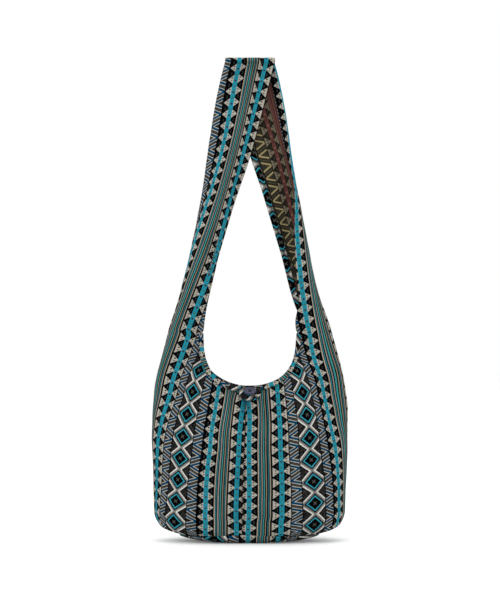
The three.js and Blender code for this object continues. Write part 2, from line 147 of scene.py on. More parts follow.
straightBody = [(seam, 0), (mouth, 0)]
width, shoulder = cloth["bodyHalfWidth"], cloth["shoulderRadius"]
leftArm = {
    "side": -1,
    "foldX": upArm(bodyFold, width, (0.81, 0.655, 0.46, 0.311, 0.17), -crownMiddle),
    "foldY": upArm(straightBody, shoulder, (-0.61, -1.13, -1.13, -0.96, -0.78), -crownHalfDepth),
    "turn": upArm(straightBody, 1, (26, 48, 77, 82, 77), 90),
}
rightArm = {
    "side": 1,
    "foldX": upArm(bodyFold, width, (0.81, 0.69, 0.584, 0.457, 0.279), crownMiddle),
    "foldY": upArm(straightBody, shoulder, (-0.43, -0.26, 0.26, 0.65, 0.78), crownHalfDepth),
    "turn": upArm(straightBody, 1, (27, 10, -13, -42, -61), -90),
}
armBend = [(root, 86), (armMiddle, 74), (armUpper, 56), (armHigh, 26), (crownStart, 0)]
foldRadius = profile((seam, cloth["baseFoldRadius"]), (belly, cloth["bellyFoldRadius"]),
                     (mouth, cloth["mouthFoldRadius"]), (root, shoulder), (crownStart, shoulder))
foldBend = profile((seam, cloth["baseFoldBend"]), (belly, cloth["bellyFoldBend"]),
                   (mouth, cloth["mouthFoldBend"]), *armBend)
fullBend = profile((seam, 90), (mouth, 90), *armBend)
rowTilt = profile((seam, 0), (mouth, 0), (root, 8), (armMiddle, 14), (armHigh, 10), (crownStart, 0))


# How far the cloth has gone towards the front and inwards at a distance from the fold line
def section(height, distance):
    radius, slopeRadius = foldRadius(height), cloth["slopeRadius"]
    bend = math.radians(max(0, foldBend(height)))
    slope = max(0, math.radians(fullBend(height)) - bend)
    bent = min(distance / radius, bend)
    sloped = min(slope, max(0, (distance - bent * radius) / slopeRadius))
    turned = bent + sloped
    straight = distance - bent * radius - sloped * slopeRadius
    sideways = radius * math.sin(bent) + slopeRadius * (math.sin(turned) - math.sin(bent))
    inwards = radius * (1 - math.cos(bent)) + slopeRadius * (math.cos(bent) - math.cos(turned))
    return sideways + straight * math.cos(turned), inwards + straight * math.sin(turned)


def halfGirth(height):
    bend = math.radians(foldBend(height))
    curved = foldRadius(height) * bend + cloth["slopeRadius"] * (math.pi / 2 - bend)
    return curved + leftArm["foldX"](height) - section(height, curved)[1] - cloth["seamGap"] / 2


mouthHalfDepth = section(mouth, halfGirth(mouth))[0]
rootCloth = halfGirth(root) - cloth["mouthHalfWidth"]

# Edges of the strap, by height: distances on the cloth from the side fold
leftArm["front"] = profile(
    (root, rootCloth),
    (armLow, lerp(rootCloth, cloth["strapFront"], 0.58)),
    (armMiddle, cloth["strapFront"]),
    (crownStart, cloth["crownFront"]),
)
leftArm["back"] = profile(
    (root, rootCloth),
    (armLow, lerp(rootCloth, cloth["strapBack"], 0.05)),
    (armMiddle, cloth["strapBack"]),
    (crownStart, cloth["crownBack"]),
)
# the right arm's front edge is folded in from the root on, along the teal line of its weave
rightArm["front"] = profile(
    (root, rootCloth),
    (root + 0.016, rootCloth - 0.003),
    (root + 0.042, 0.041),
    (armLow, 0.0375),
    (armMiddle, 0.0365),
    (armUpper, 0.034),
    (armUpper + 0.04, 0.0297),
    (crownStart, cloth["crownFront"]),
)
rightArm["back"] = profile(
    (root, rootCloth),
    (root + 0.026, rootCloth + 0.004),
    (armLow, 0.0555),
    (armMiddle, cloth["strapBack"]),
    (crownStart, cloth["crownBack"]),
)
frontSeam = profile(*cloth["frontSeam"])


# The button pinches the rims, the belly bulges, the loop presses on the front rim, and the front
# seam runs a little left of the middle, more so towards the base
def settle(point):
    x, z = point.x, point.z
    near = math.exp(-((x / cloth["pinchHalfLength"]) ** 2))
    pinch = near * ease(z, mouth - cloth["pinchDrop"], mouth)
    middle = 1 - min(1, (x / cloth["bodyHalfWidth"]) ** 2)
    bulge = ease(z, seam, belly) - ease(z, belly, mouth)
    point.y *= (1 - (1 - cloth["pinchHalfGap"] / mouthHalfDepth) * pinch
                + cloth["bellyBulge"] * middle * bulge)
    if z < root:
        blend = cloth["frontBlend"]
        pressed = math.exp(-((x / cloth["loopDipHalf"]) ** 4))
        pressed *= ease(z, mouth - cloth["loopDipDrop"], mouth) * ease(-point.y, 0, blend)
        drawn = math.exp(-((x / cloth["frontSeamReach"]) ** 2)) * ease(-point.y, -blend, blend)
        point.z -= cloth["loopDip"] * pressed
        point.x += frontSeam(z) * drawn
    return point


# A point of the cloth, by the height of the side fold and the distance on the cloth from it
def clothPoint(arm, along, across):
    turn, tilt = math.radians(arm["turn"](along)), math.radians(rowTilt(along))
    sideways, inwards = section(along, abs(across))
    sideways = math.copysign(sideways, across)
    outward = Vector((arm["side"] * math.cos(tilt), 0, math.sin(tilt)))
    facing = outward * math.cos(turn) + forward * math.sin(turn)
    edgeward = outward * -math.sin(turn) + forward * math.cos(turn)
    fold = Vector((arm["side"] * arm["foldX"](along), arm["foldY"](along), along))
    return settle(fold - facing * inwards + edgeward * sideways)


def clothNormal(arm, along, across, step=0.0005):
    upwards = clothPoint(arm, along + step, across) - clothPoint(arm, along - step, across)
    sideways = clothPoint(arm, along, across + step) - clothPoint(arm, along, across - step)
    return (upwards.cross(sideways) * arm["side"]).normalized()


# Soft unevenness of sewn cloth, and the folds that run down from the button
folds = {
    "softHeight": 0.0012,
    "softScale": 17,
    "fineHeight": 0.0005,
    "fineScale": 46,
    "noiseShift": (3.1, 1.7, 0.4),
    "quietRim": (0.004, 0.02),  # near a rim the cloth lies flat
    "farFromRim": 0.05,
    "gatherHeight": 0.0022,
    "gatherPitch": 0.021,
    "gatherMiddle": 0.004,
    "gatherReach": 0.05,
    "gatherStart": (0.004, 0.02),  # below the rim of the mouth
    "gatherEnd": (0.03, 0.085),
    "creaseDepth": 0.005,  # a long fold of the left arm, beside its fine stripes
    "creasePlace": 0.0135,
    "creaseHalf": 0.0055,
    "creaseHeights": (0.27, 0.33, 0.42, 0.53),
}


def crease(arm, height, chartAcross):
    if arm["side"] > 0:
        return 0
    low, deep, still, high = folds["creaseHeights"]
    reach = ease(height, low, deep) * (1 - ease(height, still, high))
    off = (chartAcross - folds["creasePlace"]) / folds["creaseHalf"]
    return folds["creaseDepth"] * reach * math.exp(-(off ** 2))


def unevenness(arm, point, rimDistance):
    x, y, z = folds["noiseShift"]
    shift = Vector((arm["side"] * x, y, z))
    soft = noise.noise(point * folds["softScale"] + shift) * folds["softHeight"]
    fine = noise.noise(point * folds["fineScale"] + shift) * folds["fineHeight"]
    drop = mouth - point.z
    reach = math.exp(-((point.x / folds["gatherReach"]) ** 2))
    reach *= ease(drop, *folds["gatherStart"]) * (1 - ease(drop, *folds["gatherEnd"]))
    wave = math.cos(2 * math.pi * (point.x - folds["gatherMiddle"]) / folds["gatherPitch"])
    gather = wave * reach * folds["gatherHeight"]
    return (soft + fine + gather) * ease(rimDistance, *folds["quietRim"])


# Lines of the cut: the base seam and the mouth, by the share of the way from the centre seam
# to the edge of the strap (0 to 1) and on to the side fold (1 to 2)
def baseLine(share):
    atBase = cloth["strapShareAtBase"]
    toFold = lerp(1, atBase, share) if share < 1 else atBase * (2 - share)
    along = lerp(seamEnd, seam, toFold ** 2)
    return halfGirth(along) * toFold, along


def mouthLine(share):
    if share >= 1:
        return rootCloth * (2 - share), root
    power = 2 / cloth["mouthSquareness"]
    along = lerp(root, mouth, math.cos(share * math.pi / 2) ** power)
    inwards = cloth["mouthHalfWidth"] * math.sin(share * math.pi / 2) ** power
    return halfGirth(along) - inwards, along


# Materials

def srgb(red, green, blue):
    parts = [v / 255 for v in (red, green, blue)]
    return [v / 12.92 if v < 0.04045 else ((v + 0.055) / 1.055) ** 2.4 for v in parts] + [1]


# Inks of the two sides of the cloth, and its fine stripes with their widths in millimetres
faceSide = {
    "inks": {
        "teal": srgb(32, 131, 150), "cream": srgb(168, 163, 151), "white": srgb(206, 204, 198),
        "black": srgb(3, 3, 4), "navy": srgb(0, 58, 88), "mint": srgb(60, 106, 94),
        "brown": srgb(58, 48, 46), "grey": srgb(64, 63, 61), "hatch": srgb(78, 77, 74),
        "edge": srgb(6, 26, 40), "lining": srgb(168, 163, 151), "ring": srgb(56, 160, 178),
    },
    "chevronHalf": 1.7,
    "stripes": [
        (1.5, srgb(164, 152, 136)), (1, srgb(4, 4, 5)), (1, srgb(46, 128, 140)),
        (1.5, srgb(4, 4, 5)), (1.5, srgb(136, 128, 120)), (1.5, srgb(2, 28, 40)),
        (1.5, srgb(58, 136, 136)), (1.5, srgb(5, 5, 5)), (1.5, srgb(128, 116, 98)),
        (1.5, srgb(4, 4, 5)), (1, srgb(40, 114, 128)), (1, srgb(4, 4, 5)),
        (1.5, srgb(142, 134, 120)), (2.5, srgb(6, 6, 6)),
    ],
}
reverseSide = {
    "inks": {
        "teal": srgb(96, 58, 54), "cream": srgb(118, 110, 92), "white": srgb(112, 106, 86),
        "black": srgb(32, 31, 26), "navy": srgb(170, 155, 112), "mint": srgb(124, 92, 78),
        "brown": srgb(76, 50, 45), "grey": srgb(76, 72, 60), "hatch": srgb(84, 80, 66),
        "edge": srgb(48, 41, 34), "lining": srgb(64, 60, 46), "ring": srgb(104, 62, 58),
    },
    "chevronHalf": 1,
    "stripes": [
        (2.6, srgb(80, 70, 60)), (1.3, srgb(112, 58, 58)), (1.7, srgb(56, 44, 39)),
        (1.3, srgb(90, 73, 63)), (1.3, srgb(126, 76, 70)), (1.5, srgb(102, 54, 54)),
        (1.5, srgb(48, 39, 34)), (1.3, srgb(92, 75, 63)), (1.2, srgb(119, 68, 65)),
        (1.2, srgb(80, 48, 46)), (1.2, srgb(114, 65, 63)), (2, srgb(90, 78, 65)),
        (1.5, srgb(51, 41, 36)),
    ],
}

# Bands of the weave in millimetres of cloth. From the middle of the fine stripes outwards:
# stripes, triangles on both sides of a teal line, zigzag, and half of the diamonds.
weave = {
    "repeat": 145.6,
    "threadAcross": 0.5,
    "threadAlong": 0.6,
    "stripesHalf": 10.25,
    "trianglesEnd": 35.25,
    "tealHalf": 3.6,
    "tealDot": 2,
    "tealDotShift": -2.2,
    "trianglePitch": 16.8,
    "triangleBase": 0.75,  # share of the pitch that a triangle takes up at its foot
    "triangleTip": 0.15,
    "triangleEdge": (-0.06, 0.04),
    "triangleEdging": 0.9,  # share of a row after which it is black
    "lightDots": ((0.45, 0.65), (1.1, 2.7)),  # places up a triangle, and from its middle
    "darkDots": ((0.3, 0.44), (0.8, 1.8)),
    "zigzagEnd": 51.95,
    "zigzagSlope": 6.8,
    "zigzagEdging": 0.09,
    "chevronLining": 3,  # from the middle of a chevron
    "hatchHalf": 0.6,
    "mottle": 0.7,  # share of the threads that stay black
    "diamondPitch": 33.6,
    "diamondStart": 94.6,
    "diamondSlope": 1.22,
    "diamondHeart": 5.5,  # rings of a diamond, from its middle
    "crossHalf": 1.1,
    "dashedRing": (12, 15),
    "dash": (2.6, 2),  # pitch, and how much of it is inked
    "hatchedRing": (17.8, 23),
    "hatch": (1.9, 1.1),
    "hatchFade": (16, 9),  # starts here, and is full so much further
    "whiteRing": (23, 26.2),
    "blackRing": 28.4,
    "diamondEdge": 19.2,  # beyond it a black line leads to the zigzag
    "grainShade": 0.4,
    "toneShade": 0.3,
    "toneScale": 0.03,
    "toneDetail": 2,
    "lowShade": 0.59,
}
clothFinish = {"bumpStrength": 0.5, "bumpDepth": 0.0004, "roughness": 0.88, "specular": 0.02}


class NodeTable:
    def __init__(self, tree):
        self.tree = tree

    def new(self, kind, **settings):
        node = self.tree.nodes.new(kind)
        for key, value in settings.items():
            setattr(node, key, value)
        return node

    def feed(self, socket, value):
        if isinstance(value, bpy.types.NodeSocket):
            self.tree.links.new(value, socket)
        else:
            socket.default_value = value

    def math(self, operation, *values):
        node = self.new("ShaderNodeMath", operation=operation)
        for socket, value in zip(node.inputs, values):
            self.feed(socket, value)
        return node.outputs[0]

    def add(self, a, b):
        return self.math("ADD", a, b)

    def minus(self, a, b):
        return self.math("SUBTRACT", a, b)

    def times(self, a, b):
        return self.math("MULTIPLY", a, b)

    def over(self, a, b):
        return self.math("DIVIDE", a, b)

    def size(self, value):
        return self.math("ABSOLUTE", value)

    def less(self, value, limit):
        return self.math("LESS_THAN", value, limit)

    def more(self, value, limit):
        return self.math("GREATER_THAN", value, limit)

    def between(self, value, low, high):
        return self.times(self.more(value, low), self.less(value, high))

    def remainder(self, value, pitch):
        return self.math("FLOORED_MODULO", value, pitch)

    # distance from the nearest middle of a repeat
    def fromMiddle(self, value, pitch, start=0):
        shifted = self.add(value, pitch / 2 - start)
        return self.minus(self.remainder(shifted, pitch), pitch / 2)

    def flat(self, across, along):
        node = self.new("ShaderNodeCombineXYZ")
        self.feed(node.inputs[0], across)
        self.feed(node.inputs[1], along)
        return node.outputs[0]

    def paint(self, under, mask, colour):
        node = self.new("ShaderNodeMix", data_type="RGBA")
        self.feed(node.inputs[0], mask)
        self.feed(node.inputs[6], under)
        self.feed(node.inputs[7], colour)
        return node.outputs[2]


def newGroup(name, ins, outs):
    tree = bpy.data.node_groups.new(name, "ShaderNodeTree")
    for way, sockets in (("INPUT", ins), ("OUTPUT", outs)):
        for label, kind in sockets:
            tree.interface.new_socket(name=label, in_out=way, socket_type="NodeSocket" + kind)
    nodes = NodeTable(tree)
    return nodes, nodes.new("NodeGroupInput").outputs, nodes.new("NodeGroupOutput").inputs


# Millimetres across and along the cloth, as they are and by whole threads
def threadPlaces(nodes, chart):
    split = nodes.new("ShaderNodeSeparateXYZ")
    nodes.feed(split.inputs[0], chart)
    places = [nodes.times(split.outputs[k], 1000) for k in (0, 1)]
    threads = [weave["threadAcross"], weave["threadAlong"]]
    return places, [nodes.math("SNAP", place, thread) for place, thread in zip(places, threads)]


# Share of the way across the fine stripes
def stripesGroup():
    nodes, given, made = newGroup("fineStripes", [("Cloth", "Vector")], [("Place", "Float")])
    across = threadPlaces(nodes, given["Cloth"])[1][0]
    half = weave["stripesHalf"]
    fromStripes = nodes.fromMiddle(across, weave["repeat"])
    nodes.feed(made["Place"], nodes.over(nodes.add(fromStripes, half), 2 * half))
    return nodes.tree


# Teal line between two rows of triangles: right of the stripes the dark triangles stand on the
# teal, left of them the light ones
def triangleRows(nodes, ink, across, along, inRepeat, out):
    pitch = weave["trianglePitch"]
    bandMiddle = (weave["stripesHalf"] + weave["trianglesEnd"]) / 2
    reach = weave["trianglesEnd"] - bandMiddle - weave["tealHalf"]
    fromTeal = nodes.size(nodes.minus(out, bandMiddle))
    climb = nodes.over(nodes.minus(fromTeal, weave["tealHalf"]), reach)
    nextRepeat = nodes.more(across, weave["repeat"] / 2)
    shifted = nodes.minus(along, nodes.times(nextRepeat, pitch / 2))
    step = nodes.size(nodes.fromMiddle(shifted, pitch, weave["diamondStart"]))
    onTeal = nodes.more(inRepeat, 0)
    offTeal = nodes.minus(1, onTeal)
    wide = nodes.times(nodes.size(nodes.minus(offTeal, climb)), weave["triangleBase"])
    wide = nodes.add(wide, nodes.times(onTeal, weave["triangleTip"]))
    level = nodes.minus(nodes.add(nodes.over(step, pitch / 2), wide), 1)
    row = nodes.paint(ink["black"], nodes.more(level, 0), ink["cream"])
    row = nodes.paint(row, nodes.between(level, *weave["triangleEdge"]), ink["edge"])
    fromLight = nodes.minus(pitch / 2, step)
    for dots, place, colour in (("lightDots", fromLight, "black"), ("darkDots", step, "grey")):
        up, aside = weave[dots]
        spots = nodes.times(nodes.between(wide, *up), nodes.between(place, *aside))
        row = nodes.paint(row, spots, ink[colour])
    edging = nodes.between(climb, weave["triangleEdging"], 1)
    row = nodes.paint(row, nodes.times(edging, offTeal), ink["black"])
    tealLine = ink["teal"]
    for place, colour in ((0, "mint"), (pitch / 2, "brown")):
        start = weave["diamondStart"] + place + weave["tealDotShift"]
        spot = nodes.add(nodes.size(nodes.fromMiddle(shifted, pitch, start)), fromTeal)
        tealLine = nodes.paint(tealLine, nodes.less(spot, weave["tealDot"]), ink[colour])
    return nodes.paint(row, nodes.less(fromTeal, weave["tealHalf"]), tealLine)


# Chevrons that point away from the diamonds and towards them in turn
def zigzagBand(nodes, ink, along, out, mottle, bar):
    pitch, slope = weave["diamondPitch"], weave["zigzagSlope"]
    bandWidth = weave["zigzagEnd"] - weave["trianglesEnd"]
    climb = nodes.over(nodes.minus(out, weave["trianglesEnd"]), bandWidth)
    zig = nodes.size(nodes.fromMiddle(along, pitch, weave["diamondStart"] + pitch / 4))
    level = nodes.minus(zig, nodes.times(climb, slope))
    middle = (pitch / 2 - slope) / 2
    fromLine = nodes.size(nodes.minus(level, middle))
    inner, outer = nodes.minus(middle, bar), nodes.add(middle, bar)
    lining = weave["chevronLining"]
    band = nodes.paint(mottle, nodes.between(fromLine, outer, middle + lining), ink["lining"])
    band = nodes.paint(band, nodes.between(fromLine, inner, outer), ink["navy"])
    band = nodes.paint(band, nodes.between(fromLine, middle - lining, inner), ink["lining"])
    band = nodes.paint(band, nodes.less(fromLine, middle - lining), ink["black"])
    band = nodes.paint(band, nodes.less(fromLine, weave["hatchHalf"]), ink["hatch"])
    return nodes.paint(band, nodes.less(climb, weave["zigzagEdging"]), ink["black"])


def diamondBand(nodes, ink, along, out, mottle):
    side = nodes.minus(weave["repeat"] / 2, out)
    step = nodes.size(nodes.fromMiddle(along, weave["diamondPitch"], weave["diamondStart"]))
    rise = nodes.times(step, weave["diamondSlope"])
    ring, slant = nodes.add(side, rise), nodes.minus(side, rise)
    dash, hatch = [nodes.less(nodes.remainder(slant, pitch), inked)
                   for pitch, inked in (weave["dash"], weave["hatch"])]
    fadeStart, fadeReach = weave["hatchFade"]
    brighter = nodes.times(hatch, nodes.over(nodes.minus(ring, fadeStart), fadeReach))
    cross = nodes.less(nodes.size(slant), weave["crossHalf"])
    heart = nodes.less(ring, weave["diamondHeart"])
    dashed = nodes.between(ring, *weave["dashedRing"])
    hatched = nodes.between(ring, *weave["hatchedRing"])
    band = nodes.paint(ink["black"], nodes.times(heart, cross), ink["hatch"])
    band = nodes.paint(band, nodes.times(dashed, dash), ink["ring"])
    band = nodes.paint(band, nodes.times(hatched, brighter), ink["white"])
    band = nodes.paint(band, nodes.between(ring, *weave["whiteRing"]), ink["white"])
    band = nodes.paint(band, nodes.more(ring, weave["blackRing"]), mottle)
    return nodes.paint(band, nodes.more(side, weave["diamondEdge"]), ink["black"])


def weaveGroup():
    inks = [(name, "Color") for name in faceSide["inks"]]
    given = [("Cloth", "Vector"), ("Stripes", "Color"), ("Chevron", "Float"), *inks]
    nodes, ink, made = newGroup("weave", given, [("Color", "Color"), ("Height", "Float")])
    (rawAcross, rawAlong), (across, along) = threadPlaces(nodes, ink["Cloth"])
    speck = nodes.new("ShaderNodeTexWhiteNoise", noise_dimensions="2D")
    nodes.feed(speck.inputs[0], nodes.flat(across, along))
    grain = speck.outputs[0]
    mottle = nodes.paint(ink["black"], nodes.more(grain, weave["mottle"]), ink["grey"])

    inRepeat = nodes.fromMiddle(across, weave["repeat"])
    out = nodes.size(inRepeat)
    triangles = triangleRows(nodes, ink, across, along, inRepeat, out)
    zigzag = zigzagBand(nodes, ink, along, out, mottle, ink["Chevron"])
    diamonds = diamondBand(nodes, ink, along, out, mottle)
    colour = nodes.paint(ink["Stripes"], nodes.more(out, weave["stripesHalf"]), triangles)
    colour = nodes.paint(colour, nodes.more(out, weave["trianglesEnd"]), zigzag)
    colour = nodes.paint(colour, nodes.more(out, weave["zigzagEnd"]), diamonds)

    # threads differ a little, and so do whole areas of the cloth
    tone = nodes.new("ShaderNodeTexNoise", noise_dimensions="2D")
    tone.inputs["Scale"].default_value = weave["toneScale"]
    tone.inputs["Detail"].default_value = weave["toneDetail"]
    nodes.feed(tone.inputs["Vector"], nodes.flat(rawAcross, rawAlong))
    shade = nodes.add(nodes.times(grain, weave["grainShade"]),
                      nodes.times(tone.outputs[0], weave["toneShade"]))
    vary = nodes.new("ShaderNodeHueSaturation")
    nodes.feed(vary.inputs["Value"], nodes.add(shade, weave["lowShade"]))
    nodes.feed(vary.inputs["Color"], colour)
    nodes.feed(made["Color"], vary.outputs[0])

    warp = nodes.math("SINE", nodes.times(rawAcross, math.pi / weave["threadAcross"]))
    weft = nodes.math("SINE", nodes.times(rawAlong, math.pi / weave["threadAlong"]))
    nodes.feed(made["Height"], nodes.times(nodes.size(warp), nodes.size(weft)))
    return nodes.tree


stripesTree, weaveTree = stripesGroup(), weaveGroup()


def newMaterial(name):
    material = bpy.data.materials.new(name)
    material.use_nodes = True
    return material, NodeTable(material.node_tree), material.node_tree.nodes["Principled BSDF"].inputs


def stripeRamp(nodes, stripes):
    node = nodes.new("ShaderNodeValToRGB")
    ramp = node.color_ramp
    ramp.interpolation = "CONSTANT"
    while len(ramp.elements) < len(stripes):
        ramp.elements.new(0.5)
    whole = sum(size for size, _ in stripes)
    place = 0
    for element, (size, colour) in zip(ramp.elements, stripes):
        element.position = place / whole
        element.color = colour
        place += size
    return node


def clothMaterial(name, side):
    material, nodes, shader = newMaterial(name)
    chart = nodes.new("ShaderNodeUVMap", uv_map="cloth").outputs[0]
    stripes = nodes.new("ShaderNodeGroup", node_tree=stripesTree)
    ramp = stripeRamp(nodes, side["stripes"])
    pattern = nodes.new("ShaderNodeGroup", node_tree=weaveTree)
    nodes.feed(stripes.inputs["Cloth"], chart)
    nodes.feed(ramp.inputs[0], stripes.outputs["Place"])
    nodes.feed(pattern.inputs["Cloth"], chart)
    nodes.feed(pattern.inputs["Stripes"], ramp.outputs[0])
    nodes.feed(pattern.inputs["Chevron"], side["chevronHalf"])
    for ink, colour in side["inks"].items():
        nodes.feed(pattern.inputs[ink], colour)
    bump = nodes.new("ShaderNodeBump")
    bump.inputs["Strength"].default_value = clothFinish["bumpStrength"]
    bump.inputs["Distance"].default_value = clothFinish["bumpDepth"]
    nodes.feed(bump.inputs["Height"], pattern.outputs["Height"])
    nodes.feed(shader["Base Color"], pattern.outputs["Color"])
    nodes.feed(shader["Normal"], bump.outputs[0])
    nodes.feed(shader["Roughness"], clothFinish["roughness"])
    nodes.feed(shader["Specular IOR Level"], clothFinish["specular"])
    return material


wovenFace = clothMaterial("wovenFace", faceSide)
wovenReverse = clothMaterial("wovenReverse", reverseSide)
print("materials of the cloth done")

# Panels: each wraps half of the body and runs on as an arm of the strap
panel = {
    "mouthColumns": 28,
    "strapColumns": 12,
    "hemColumns": 8,
    "bodyRows": 54,
    "armRows": 104,
    "crownRows": 8,
    "seamCrowding": 0.4,  # columns stand closer at a centre seam, rows at both rims
    "rimCrowding": 0.6,
    "frontHem": 0.015,
    "backHem": 0.011,
    "hemShareAtRoot": 0.3,
    "hemTaper": 0.05,
    "hemRadius": 0.0011,
    "edgeStep": 0.002,  # how far in from an edge its direction is taken
    "seamTuck": 0.0016,
    "seamTuckReach": 0.0026,
    "baseTuckShare": 0.8,
}
halfColumns = panel["mouthColumns"] + panel["strapColumns"]
columns = 2 * halfColumns
rows = panel["bodyRows"] + panel["armRows"] + panel["crownRows"] + 1

# How far the weave lies from the cut on the front of each panel, in millimetres: its stripes
# across, and its rows along, at heights of the body and distances from the side fold
slip = {
    "distances": (0, 44, 78, 118, 150),
    "heights": (35, 46, 60, 80, 118, 154, 190, 226, 265, 324),
    "left": (
        (0.5, 0, 0.5, 1.5, 0.5, -3.5, -8, -11, -10.5, -9),
        (24.5, 20.5, 16.5, 11, 4.5, -1.5, -9, -15, -15.5, -12),
        (23.5, 21, 18.5, 16, 9.5, 3.5, 1, 1, 2.5, -1),
        (17.5, 15.5, 14.5, 13, 9, 4.5, 4.5, 8.5, 12.5, 11),
        (13, 11, 10, 8.5, 5.5, 4, 6.5, 11, 12.5, 11),
    ),
    "right": (
        (-7.5, -8.5, -9, -9.5, -11.5, -13.5, -18, -17.5, -14.5, -13.5),
        (5, 2.5, 0.5, -1.5, -9, -17.5, -25, -26, -24, -13),
        (11, 8.5, 6.5, 4, -3.5, -8.5, -8, -5.5, -4.5, -11),
        (12.5, 10.5, 9, 7.5, 3.5, 0, 3, 9, 12.5, 11),
        (13, 10.5, 9, 7.5, 4, 2, 6, 10.5, 12.5, 11),
    ),
    "leftRows": (-12, -5.5, 0.8, 5.5, 10),
    "rightRows": (-7, -3, 1, 9.7, 12.5),
}

# The same on the arms of the strap: at the back edge, near the fold and at the front edge. Only
# the left arm's rows slip.
armSlip = {
    "distances": (-45, -6, 20),
    "left": (
        ((324, -9), (381, -4), (444, -1), (540, -4.5), (600, -5), (690, -2)),
        ((324, -9), (381, -4), (444, -2), (540, -5.5), (596, -6.5), (651, -4.5), (728, 0)),
        ((324, -9), (381, -4), (444, 0), (540, 5), (728, 4)),
    ),
    "right": (
        ((324, -13.5), (440, -17), (728, -19)),
        ((324, -13.5), (381, -10), (480, -7), (513, -9.5), (551, -13), (595, -17.5)),
        ((324, -13.5), (381, -10), (475, -11.5), (520, -10.5), (570, -7.5), (620, -7), (728, -10)),
    ),
    "leftRows": (
        ((324, 0), (450, 4), (580, 4), (668, -1), (722, -6)),
        ((324, 0), (450, 0), (575, 4.5), (668, 11.5), (722, 13.5)),
    ),
    "rightRows": (),
    "rowsBlend": (-8, 18),
}
seamChart = 0.174  # the cloth's own distance between the side fold and a centre seam
slipLow = slip["heights"][0] / 1000
slipDistances = [distance / 1000 for distance in slip["distances"]]
armDistances = [distance / 1000 for distance in armSlip["distances"]]
rowsBlend = [distance / 1000 for distance in armSlip["rowsBlend"]]


def inMetres(points):
    return profile(*((a / 1000, b / 1000) for a, b in points))


for arm, name in ((leftArm, "left"), (rightArm, "right")):
    arm["slip"] = [inMetres(zip(slip["heights"], values)) for values in slip[name]]
    arm["rows"] = inMetres(zip(slip["distances"], slip[name + "Rows"]))
    arm["armSlip"] = [inMetres(points) for points in armSlip[name]]
    arm["armRows"] = [inMetres(points) for points in armSlip[name + "Rows"]]


# Place on the woven cloth, in metres: across the stripes and along them
def chartPlace(arm, along, across):
    onRow = along + arm["rows"](abs(across))
    if along >= root:
        drift = profile(*zip(armDistances, [shift(along) for shift in arm["armSlip"]]))
        if arm["armRows"]:
            back, front = [shift(along) for shift in arm["armRows"]]
            onRow += lerp(back, front, ease(across, *rowsBlend))
        return -arm["side"] * (across + drift(across)), onRow
    distance, girth = abs(across), halfGirth(along)
    if across < 0:
        atFold = -arm["slip"][0](along)
        onCloth = -distance - lerp(atFold, seamChart - girth, ease(distance, 0, girth))
        return -arm["side"] * onCloth, onRow
    if along < slipLow:  # below, the stripes run straight down to the base
        distance += halfGirth(slipLow) - girth
        along = slipLow
    places = [place + shift(along) for place, shift in zip(slipDistances, arm["slip"])]
    beyond = max(0, distance - slipDistances[-1])
    onCloth = profile(*zip(slipDistances, places))(distance - beyond) + beyond
    return -arm["side"] * onCloth, onRow


def columnPlace(j):
    fromSeam = halfColumns - abs(j - halfColumns)
    half = 1 if j <= halfColumns else -1
    fromEdge = fromSeam - panel["mouthColumns"]
    if fromEdge >= 0:
        return half, 1 + fromEdge / panel["strapColumns"], fromEdge
    t = fromSeam / panel["mouthColumns"]
    return half, lerp(t, t * t, panel["seamCrowding"]), fromEdge


def armPlace(arm, along, half, fromEdge):
    edge = arm["front" if half > 0 else "back"](along)
    if fromEdge >= 0:
        return half * edge * (1 - fromEdge / panel["strapColumns"]), 0
    hem = panel["frontHem"] if half > 0 else panel["backHem"]
    hem *= lerp(panel["hemShareAtRoot"], 1, ease(along, root, root + panel["hemTaper"]))
    return half * edge, -fromEdge / panel["hemColumns"] * hem


# Cloth beyond an edge of the strap is turned in and lies against the inside
def hemPoint(place, normal, edgeward, turned):
    radius = panel["hemRadius"]
    angle = min(math.pi, turned / radius)
    back = max(0, turned - math.pi * radius)
    out = radius * math.sin(angle) - back
    return place + edgeward * out - normal * radius * (1 - math.cos(angle))


def bodyVertex(arm, i, half, share):
    lowAcross, lowAlong = baseLine(share)
    highAcross, highAlong = mouthLine(share)
    t = i / panel["bodyRows"]
    rise = lerp(t, ease(t, 0, 1), panel["rimCrowding"])
    along = lerp(lowAlong, highAlong, rise)
    girth = halfGirth(along)
    across = girth if share == 0 else lerp(lowAcross, highAcross, rise)
    point = clothPoint(arm, along, half * across)
    normal = clothNormal(arm, along, half * across)
    chart = chartPlace(arm, along, half * across)
    fromBase = along - lowAlong
    fromMouth = highAlong - along if share < 1 else folds["farFromRim"]
    fromSeam = min(girth - across, fromBase * panel["baseTuckShare"])
    tuck = panel["seamTuck"] * math.exp(-((fromSeam / panel["seamTuckReach"]) ** 2))
    lift = unevenness(arm, point, min(fromMouth, fromBase + folds["quietRim"][0]))
    return point + normal * (lift - crease(arm, along, chart[0]) - tuck), chart


def armVertex(arm, step, half, fromEdge):
    along = lerp(root, crownStart, step / panel["armRows"])
    across, turned = armPlace(arm, along, half, fromEdge)
    normal = clothNormal(arm, along, across)
    place = clothPoint(arm, along, across)
    chart = chartPlace(arm, along, across)
    lift = unevenness(arm, place, folds["farFromRim"]) - crease(arm, along, chart[0])
    point = place + normal * lift
    if turned:
        inside = clothPoint(arm, along, across - half * panel["edgeStep"])
        point = hemPoint(point, normal, (place - inside).normalized(), turned)
        chart = chartPlace(arm, along, across + half * turned)
    return point, chart


